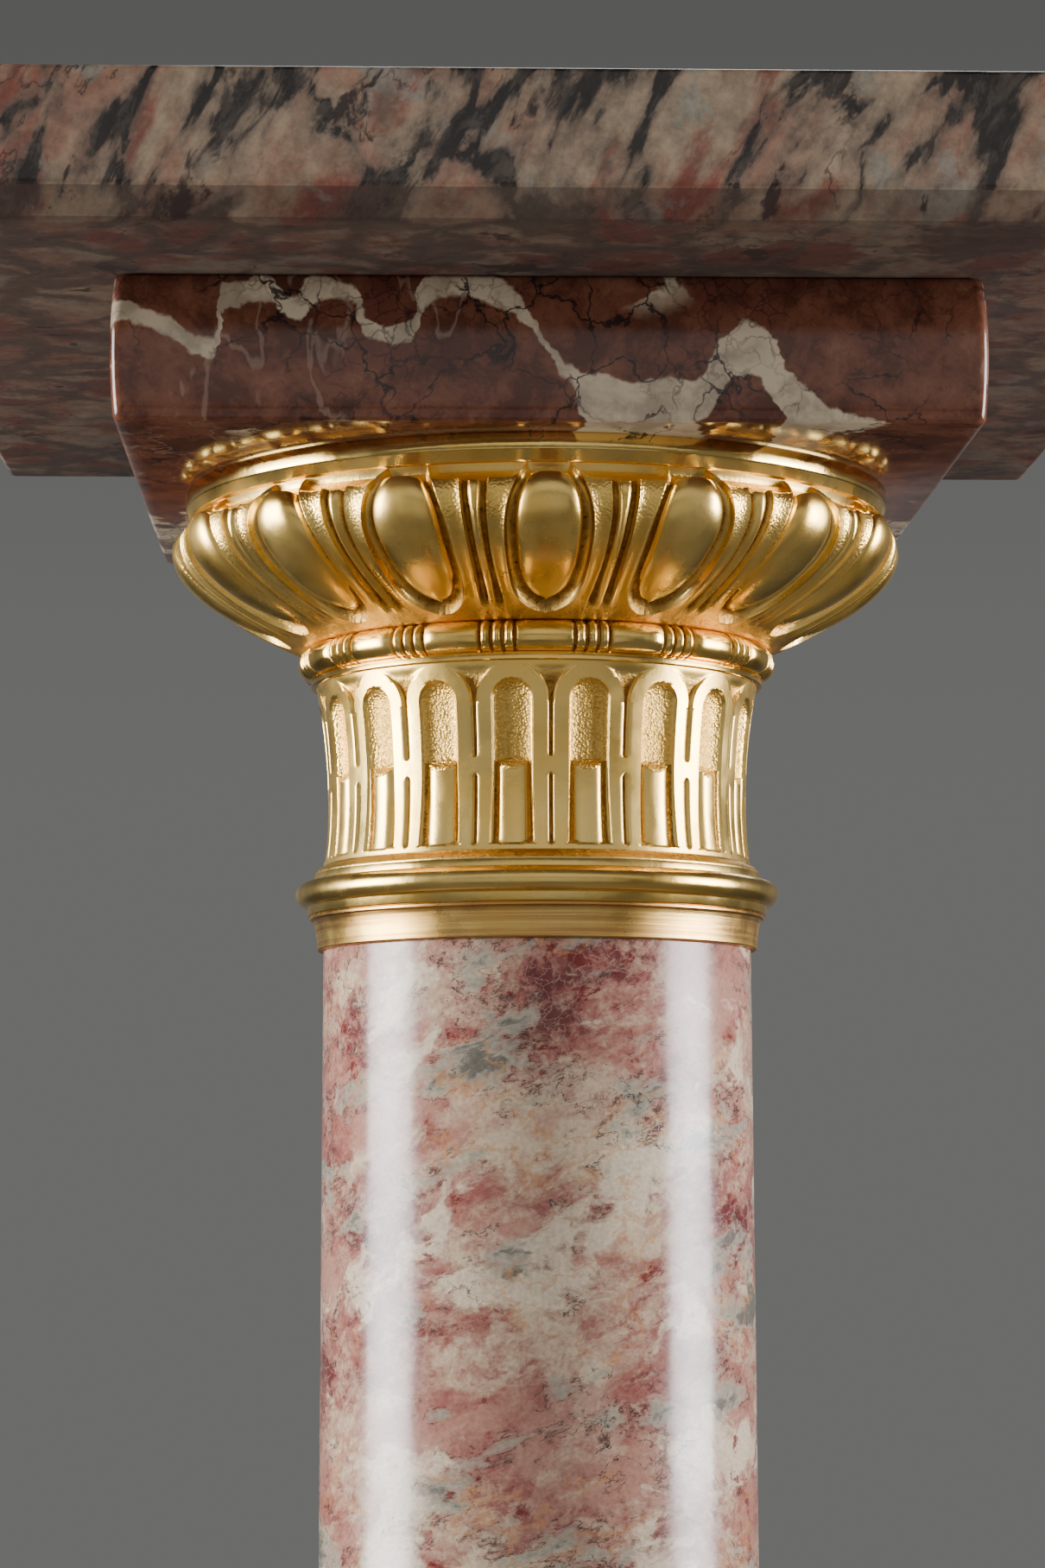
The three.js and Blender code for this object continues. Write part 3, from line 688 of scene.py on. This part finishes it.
def neck_rings():
    """Rings up the flutes, close together at their foot, round the cables' ends and in the arches."""
    heights = np.concatenate([
        np.linspace(0.0, 0.0018, 7), np.linspace(0.0026, 0.0190, 13), np.linspace(0.0194, 0.0266, 20),
        np.linspace(0.0278, 0.0360, 8), np.linspace(0.0366, FLUTED_TALL, 36),
    ])
    rings, marks = [], []
    for y in heights:
        arch = arch_half(y, ARCH_HALF, least=0.0028)
        flute = arch_half(y, FLUTE_HALF, least=0.0018) + flute_spread(y)
        inner = min(CABLE_HALF, flute * 0.77)
        breaks = [share / NECK_PITCH for share in (0.0, inner * 0.9, inner, flute - 0.0003, flute + 0.0001,
                                                   arch - 0.0002, arch + 0.0005)] + [0.5]
        columns = spread(breaks, (4, 2, 3, 2, 4, 2, 4))

        def ring_at(folded):
            relief, hollow, matted = neck_relief(folded * NECK_PITCH, np.full(len(folded), y))
            level = neck_low[2] + MOULDING_TALL + y
            return neck_radius(y) + relief, np.full(len(folded), level), (hollow, matted)

        points, values = carved_ring(columns, FLUTES, FLUTE_TURN, ring_at)
        rings.append(points)
        marks.append(values)
    return rings, marks


def neck_mouldings():
    """The turned outline below the flutes: fillet, torus, ovolo and the small cove over it."""
    fillet_tall, torus_tall, ovolo_tall = 0.0026, 0.00675, 0.00485
    fillet_radius, torus_radius, ovolo_radius = 0.0642, 0.0676, 0.0629
    outline = [(fillet_radius - EASING, 0.0), (fillet_radius, EASING), (fillet_radius, fillet_tall - 0.0002)]
    outline += roll(torus_radius, fillet_tall, torus_tall, 16, reach=88)
    seat = fillet_tall + torus_tall
    foot = neck_radius(0.0)
    outline += [(ovolo_radius, seat + 0.0002)]
    for turn in np.linspace(0.08, 0.93, 9) * math.pi / 2:
        radius = foot + (ovolo_radius - foot) * math.cos(turn)
        outline.append((radius, seat + ovolo_tall * 0.86 * math.sin(turn)))
    return outline + [(foot + 0.0001, seat + ovolo_tall * 0.9)]


def neck_piece():
    carved, marks = neck_rings()
    hollow, matted = map(np.concatenate, zip(*marks))
    count = len(carved[0]) // 3
    level = neck_low[2]
    with_flutes = np.array(Matrix.Rotation(-FLUTE_TURN, 3, "Z"))
    turned = [turned_ring(r, level + z, count) @ with_flutes for r, z in neck_mouldings()]
    fillet_foot = level + MOULDING_TALL + FLUTED_TALL
    outline = [(FILLET_RADIUS - 2 * EASING, fillet_foot)] + fillet(FILLET_RADIUS, fillet_foot, neck_high[2])
    outline += [(FILLET_RADIUS - EASING, neck_high[2])]
    upper = [turned_ring(r, z, count) @ with_flutes for r, z in outline]
    piece = lofted("capital_neck_gilt", turned + carved + upper, crease=50)
    # Painted shade, with patina, on the ovolo's upper part, where it turns in under the flutes.
    crevice_patina_and_shade = np.repeat([0.55 if radius < CREVICE_RADIUS else 0.0 for radius, _ in neck_mouldings()], count)
    below, above = np.ones(len(crevice_patina_and_shade)), np.ones(count * len(upper))
    keep_on_points(piece, hollow=np.concatenate([crevice_patina_and_shade, hollow, 0 * above]),
                   matted=np.concatenate([0 * below, matted, 0 * above]),
                   burnished=np.concatenate([0.4 * below, 0 * hollow, 0.6 * above]))
    return piece


neck = neck_piece()
neck.data.materials.append(gilding)
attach(neck, "root")
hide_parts("capital_neck")


# The astragal: a gilt bronze ring of long beads, with three thin discs between each two.
# It is cast apart and chased, and sits between the neck's fillet and the belly of the capital.
EGGS = 16
astragal_low, astragal_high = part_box("capital_astragal")
astragal_radius = 0.06725
tube = (astragal_high[2] - astragal_low[2]) / 2
discs, disc_pitch, disc_groove = 3, 0.0033, 0.0016
bead_pitch = FULL_TURN * astragal_radius / EGGS
group_half = discs * disc_pitch / 2


def bead_relief(share):
    """How far the ring's roll sinks at a share of the pitch from a bead's middle."""
    along = share * bead_pitch
    half_pitch = 0.5 * bead_pitch
    from_group = half_pitch - along
    bead_half = half_pitch - group_half
    bead = -disc_groove * np.clip(along / bead_half, 0, 1) ** 9 - 0.00025 * (along / bead_half) ** 2
    in_disc = np.abs((from_group / disc_pitch + 0.5) % 1.0 - 0.5)
    disc = -disc_groove * (1 - np.sqrt(np.clip(1 - (in_disc / 0.36) ** 2.4, 0, 1))) - 0.0001
    on_discs = from_group < group_half
    relief = np.where(on_discs, disc, bead)
    # Painted shade, with patina, in the grooves between the discs and at the beads' ends.
    hollow = np.clip(-relief / disc_groove * 1.1 - 0.1, 0, 1)
    return relief, hollow


group_edge = 0.5 - group_half / bead_pitch
bead_columns = spread([0.0, group_edge * 0.8, group_edge, 0.5], (4, 4, 20))
astragal_rings, astragal_hollow = [], []
for turn in np.radians(np.linspace(-90, 90, 23)):
    def roll_ring(folded):
        relief, hollow = bead_relief(folded)
        flat = np.cos(turn) ** 0.35 if abs(turn) < math.pi / 2 - 0.001 else 0.0
        radius = astragal_radius - tube + (tube + relief * flat) * math.cos(turn)
        z = astragal_low[2] + tube + (tube + relief * flat * 0.5) * math.sin(turn)
        return radius, z, (hollow,)

    points, values = carved_ring(bead_columns, EGGS, 0.0, roll_ring)
    astragal_rings.append(points)
    astragal_hollow.append(values[0] * 0.9)
astragal = lofted("capital_astragal_gilt", astragal_rings, crease=60)
keep_on_points(astragal, hollow=np.concatenate(astragal_hollow), burnished=0.5)
astragal.data.materials.append(gilding)
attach(astragal, "root")
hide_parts("capital_astragal")


# The echinus: a gilt bronze casting, a mirror-bright turned ring over a belly of egg and dart.
# Each egg lies in a deep groove inside its shell, and a slim dart stands between the shells.
echinus_low, echinus_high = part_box("capital_echinus")
RING_RADIUS, RING_TALL, RING_LIP = 0.099, 0.0075, 0.0045
BELLY_TALL = echinus_high[2] - echinus_low[2] - RING_TALL
BELLY_RADIUS, BELLY_FOOT, SHOULDER_TALL = 0.1016, 0.066, 0.008
EGG_BULGE, EGG_GROOVE, DART_GROOVE, COVE_DEPTH = 0.0012, 0.0026, 0.0018, 0.0022


def bezier(points, t):
    """A point of a cubic curve, and the direction along it."""
    a, b, c, d = (np.array(p) for p in points)
    s = 1 - t
    spot = s ** 3 * a + 3 * s * s * t * b + 3 * s * t * t * c + t ** 3 * d
    along = 3 * (s * s * (b - a) + 2 * s * t * (c - b) + t * t * (d - c))
    return spot, along / np.linalg.norm(along)


SHOULDER_LEVEL = BELLY_TALL - SHOULDER_TALL
SHOULDER = [(RING_RADIUS - 0.0034, BELLY_TALL), (RING_RADIUS - 0.0003, BELLY_TALL - SHOULDER_TALL * 0.2),
            (BELLY_RADIUS, BELLY_TALL - SHOULDER_TALL * 0.52), (BELLY_RADIUS, SHOULDER_LEVEL)]
BELLY = [(BELLY_RADIUS, SHOULDER_LEVEL), (BELLY_RADIUS, SHOULDER_LEVEL * 0.645),
         (BELLY_FOOT + (BELLY_RADIUS - BELLY_FOOT) * 0.55, SHOULDER_LEVEL * 0.3), (BELLY_FOOT, 0.0)]


# Outlines of the egg, its shell's rim and the shell's outer edge: half-widths are shares of the
# pitch and levels are shares of the belly's height, measured down from the ring
EGG_LINE = dict(widest=0.238, level=0.51, narrowing=0.68, end=0.925, roundness=4.4)
RIM_LINE = dict(widest=0.312, level=0.60, narrowing=0.84, end=0.96, roundness=4.6)
EDGE_LINE = dict(widest=0.42, level=0.62, narrowing=2.3, end=1.34, roundness=2.0)


def half_width(depth, widest, level, narrowing, end, roundness):
    """Half-width of a form that widens downwards and then rounds in to its end."""
    if depth <= level:
        return widest * (1 - ((level - depth) / narrowing) ** 2)
    return widest * math.sqrt(max(0.0, 1 - ((depth - level) / (end - level)) ** roundness))


def line_between(first, second, share):
    return {key: first[key] + (second[key] - first[key]) * share for key in first}


# Outlines nested from the egg's middle (0) over the egg (1) and the rim (2) to the shell's edge (3)
MIDDLE_LINE = dict(EGG_LINE, widest=0.0, end=EGG_LINE["level"] + 0.01)
LINES = [MIDDLE_LINE, EGG_LINE, RIM_LINE, EDGE_LINE]
NESTED = [line_between(inner, outer, share) for inner, outer in zip(LINES, LINES[1:])
          for share in np.linspace(0, 1, 24, endpoint=False)] + [EDGE_LINE]
NEST_MARKS = np.linspace(0, 3, len(NESTED))


def dart_edge(depth):
    """Where the dart's ridge starts, as a share of the pitch; it is wider at its head."""
    return 0.5 - 0.020 - 0.014 * (1 - smooth(depth, 0.15, 0.45))


def belly_relief(share, depth):
    """Height of egg, shell and dart at a share of the pitch from an egg's middle, and two masks."""
    widths = np.array([half_width(depth, **line) for line in NESTED])
    nest = np.interp(np.maximum(share, 1e-4), widths + NEST_MARKS * 1e-6, NEST_MARKS)
    rim, edge = half_width(depth, **RIM_LINE), half_width(depth, **EDGE_LINE)
    ridge_edge = dart_edge(depth)
    egg_height = -EGG_GROOVE + (EGG_GROOVE + EGG_BULGE) * (1 - np.clip(nest, 0, 1) ** 2.9) ** 0.5
    up_slope = np.clip(nest - 1, 0, 1)
    groove_height = -EGG_GROOVE * np.sqrt(1 - up_slope ** 2.2)
    ledge = np.clip(nest - 2, 0, 1)
    band_height = -0.00035 * np.sin(math.pi * ledge) - 0.0003 * ledge
    fading = 1 - smooth(depth, 0.88, 0.955)
    gully = np.clip((share - edge) / (ridge_edge - edge), 0, 1)
    gully_height = -0.0003 - DART_GROOVE * fading * (1 - np.abs(2 * gully - 1) ** 3.4)
    ridge = np.clip((share - ridge_edge) / (0.5 - ridge_edge), 0, 1)
    ridge_height = -0.0003 + 0.0005 * ridge * fading
    height = np.select([nest < 1, nest < 2, share < edge, share < ridge_edge],
                       [egg_height, groove_height, band_height, gully_height], ridge_height)
    lip = 0.0003 * np.exp(-((nest - 2) / 0.1) ** 2)
    outer_lip = 0.0002 * np.exp(-((share - edge) / 0.008) ** 2) * fading
    head = np.where(share < rim, 0.088, 0.086 + 0.05 * smooth(share, edge, 0.5))
    softness = np.where((share > rim) & (share < edge), 0.03, 0.014)
    started = smooth(depth, head, head + softness * 1.2)
    on_rim = np.exp(-((share - rim) / 0.015) ** 2)
    cove = -COVE_DEPTH * (1 - on_rim)
    shaped = cove * (1 - started) + (height + lip + outer_lip) * started
    low_ease = 1 - smooth(depth, 0.965, 1.0)
    # Painted shade: dark in the grooves round the eggs and beside the darts, with patina as well, in the
    # cove under the ring's overhang, and towards the belly's foot.
    in_groove = np.where((nest >= 0.97) & (nest < 2), 1 - up_slope ** 1.3, 0.0)
    between = (share >= edge) & (share < ridge_edge)
    in_gully = np.where(between, 1 - np.abs(2 * gully - 1) ** 2.5, 0.0) * fading
    foot_shade = 0.6 * smooth(depth, 0.8, 0.98)
    shaded = np.maximum(in_groove, in_gully) * started + 0.4 * (1 - started) * (1 - on_rim) + foot_shade
    matted = np.where((nest >= 2) & (share < edge), 0.4 - 0.25 * smooth(depth, 0.3, 0.7), 0.0) * started
    return shaped * low_ease, np.clip(shaded, 0, 1), matted


def belly_columns(depth):
    """Columns that follow the outlines of egg, rim, shell and dart down the belly."""
    egg = max(0.06, half_width(depth, **EGG_LINE))
    rim = max(egg + 0.04, half_width(depth, **RIM_LINE))
    edge = max(rim + 0.04, half_width(depth, **EDGE_LINE))
    breaks = [0.0, egg * 0.8, egg, rim - 0.014, rim + 0.014, edge - 0.008, edge + 0.004]
    return spread(breaks + [dart_edge(depth), 0.5], (5, 4, 4, 6, 3, 2, 4, 2))


def belly_rings():
    """Rings up the belly and over its shoulder, closest together at the eggs' tips."""
    rings, marks = [], []
    stations = [1.0, 0.985] + list(np.linspace(0.97, 0.77, 31)) + list(np.linspace(0.752, 0.0, 41))
    stations = [(BELLY, t) for t in stations] + [(SHOULDER, t) for t in np.linspace(0.955, 0.0, 20)]
    for curve, t in stations:
        spot, along = bezier(curve, t)
        depth = 1 - spot[1] / BELLY_TALL

        def ring_at(folded):
            relief, hollow, matted = belly_relief(folded, depth)
            radius = spot[0] - along[1] * relief
            z = np.minimum(echinus_low[2] + spot[1] + along[0] * relief, echinus_high[2] - RING_TALL)
            return radius, z, (hollow, matted)

        points, values = carved_ring(belly_columns(depth), EGGS, 0.0, ring_at)
        rings.append(points)
        marks.append(values)
    return rings, marks


def echinus_piece():
    rings, marks = belly_rings()
    hollow, matted = map(np.concatenate, zip(*marks))
    count = len(rings[0]) // 2
    top = echinus_high[2]
    band = top - RING_LIP
    ring_foot = top - RING_TALL
    outline = [(RING_RADIUS - 0.0036, ring_foot + 0.0001), (RING_RADIUS - 0.0016, ring_foot),
               (RING_RADIUS - 0.0012, ring_foot + 0.0003), (RING_RADIUS - 0.0006, band - 0.0002),
               (RING_RADIUS - 0.0002, band), (RING_RADIUS - 0.0001, band + 0.0003),
               (RING_RADIUS, top - 0.0004), (RING_RADIUS - 0.0004, top)]
    upper = [turned_ring(r, z, count) for r, z in outline]
    piece = lofted("capital_echinus_gilt", rings + upper, crease=55)
    plain = np.zeros(count * len(upper))
    mirror = np.repeat([z >= band for _, z in outline], count)
    keep_on_points(piece, hollow=np.concatenate([hollow, plain]), matted=np.concatenate([matted, plain]),
                   burnished=np.concatenate([0 * hollow, mirror]))
    return piece


echinus = echinus_piece()
echinus.data.materials.append(gilding)
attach(echinus, "root")
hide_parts("capital_echinus")


# The abacus: the square block of red-brown marble that the capital carries.
# Its underside is polished too, and mirrors the bright ring that it rests on.
abacus = swelling_block("abacus_block", seed=7)
abacus.data.materials.append(marble_red)
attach(abacus, "root")
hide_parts("abacus_block")


# The top slab: the square slab of cream marble that carries a bust, a vase or a lamp.
# It is laid on the abacus, and the long bevel runs round its lower edge.
top_slab = stone_slab("top_slab", bevel_below=True, seed=9)
top_slab.data.materials.append(marble_cream)
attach(top_slab, "root")
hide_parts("top_slab")


# The floor: a plain pale disc under the column, which isn't part of it.
# It is wide enough to catch the column's shadow in every view.
FLOOR_RADIUS = 3.0
floor_ring = turned_ring(FLOOR_RADIUS, 0.0, 96)
floor_mesh = bpy.data.meshes.new("floor")
floor_mesh.from_pydata(floor_ring.tolist(), [], [tuple(range(len(floor_ring)))])
floor_mesh.materials.append(Finish("pale_floor").surface(srgb(172, 170, 167), 0.7))
floor = put("floor", floor_mesh)


# The light: two tall soft boxes at the sides, a wide one and a weak low one in front, and one
# above and behind. The grey surround gives the polished bronze its dark and mid tones.
def soft_box(name, azimuth, distance, height, width, tall, power, spread, aim_height=0.95, tint=(1, 1, 1)):
    """An area light that faces the column; azimuth 0 is the front, 90 the right."""
    lamp = bpy.data.lights.new(name, "AREA")
    lamp.shape = "RECTANGLE"
    lamp.size, lamp.size_y = width, tall
    lamp.energy = power
    lamp.spread = math.radians(spread)
    lamp.color = tint
    turn = math.radians(azimuth)
    box = put(name, lamp)
    box.location = (distance * math.sin(turn), -distance * math.cos(turn), height)
    aim = Vector((0.0, 0.0, aim_height)) - box.location
    box.rotation_euler = aim.to_track_quat("-Z", "Y").to_euler()
    box.visible_camera = False


soft_box("left_box", azimuth=-86, distance=1.7, height=1.2, width=0.95, tall=1.4, power=13, spread=60,
         aim_height=1.2)
soft_box("right_box", azimuth=85, distance=1.8, height=1.2, width=0.95, tall=1.4, power=12, spread=60,
         aim_height=1.2, tint=(0.98, 0.97, 1.0))
soft_box("front_fill", azimuth=0, distance=2.8, height=1.9, width=7.0, tall=1.5, power=7.6, spread=130)
soft_box("low_fill", azimuth=-4, distance=1.3, height=0.46, width=2.4, tall=0.9, power=0.95, spread=120)
soft_box("top_box", azimuth=168, distance=2.2, height=2.55, width=1.4, tall=1.0, power=3.0, spread=60)

surround = bpy.data.worlds.new("surround")
surround.use_nodes = True
nodes, links = surround.node_tree.nodes, surround.node_tree.links
direction = nodes.new("ShaderNodeSeparateXYZ")
links.new(nodes.new("ShaderNodeTexCoord").outputs["Generated"], direction.inputs[0])
strengths = []
for low, high, low_strength, high_strength in ((-0.36, -0.1, 0.2, 1.0), (0.1, 0.34, 1.0, 0.66)):
    fade = nodes.new("ShaderNodeMapRange")
    fade.interpolation_type = "SMOOTHSTEP"
    links.new(direction.outputs["Z"], fade.inputs["Value"])
    ends = {"From Min": low, "From Max": high, "To Min": low_strength, "To Max": high_strength}
    for key, value in ends.items():
        fade.inputs[key].default_value = value
    strengths.append(fade.outputs["Result"])
both = nodes.new("ShaderNodeMath")
both.operation = "MULTIPLY"
for socket, strength in zip(both.inputs, strengths):
    links.new(strength, socket)
links.new(both.outputs[0], nodes["Background"].inputs["Strength"])
nodes["Background"].inputs["Color"].default_value = srgb(108, 108, 107)
bpy.context.scene.world = surround


# The camera: it stands close, a little to the left and just under the capital, and looks up.
# Its place and lens are fitted to the photograph's square blocks, round mouldings and carving.
CAMERA_DISTANCE = 1.065
CAMERA_BELOW_ABACUS = 0.1967
CAMERA_AZIMUTH = -0.0358
CAMERA_YAW, CAMERA_PITCH, CAMERA_ROLL = 0.00374, 0.10839, -0.00221
FOCAL_PIXELS, PHOTO_HEIGHT = 4405.6, 1816
camera_data = bpy.data.cameras.new("camera")
camera_data.sensor_width = 36.0
camera_data.lens = FOCAL_PIXELS / PHOTO_HEIGHT * camera_data.sensor_width
camera_data.clip_start = 0.02
camera = put("camera", camera_data)
spot = Vector((CAMERA_DISTANCE * math.sin(CAMERA_AZIMUTH), -CAMERA_DISTANCE * math.cos(CAMERA_AZIMUTH),
               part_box("abacus_block")[0][2] - CAMERA_BELOW_ABACUS))
facing = (Matrix.Rotation(CAMERA_AZIMUTH + CAMERA_YAW, 4, "Z")
          @ Matrix.Rotation(math.pi / 2 + CAMERA_PITCH, 4, "X")
          @ Matrix.Rotation(CAMERA_ROLL, 4, "Z"))
camera.matrix_world = Matrix.Translation(spot) @ facing
bpy.context.scene.camera = camera
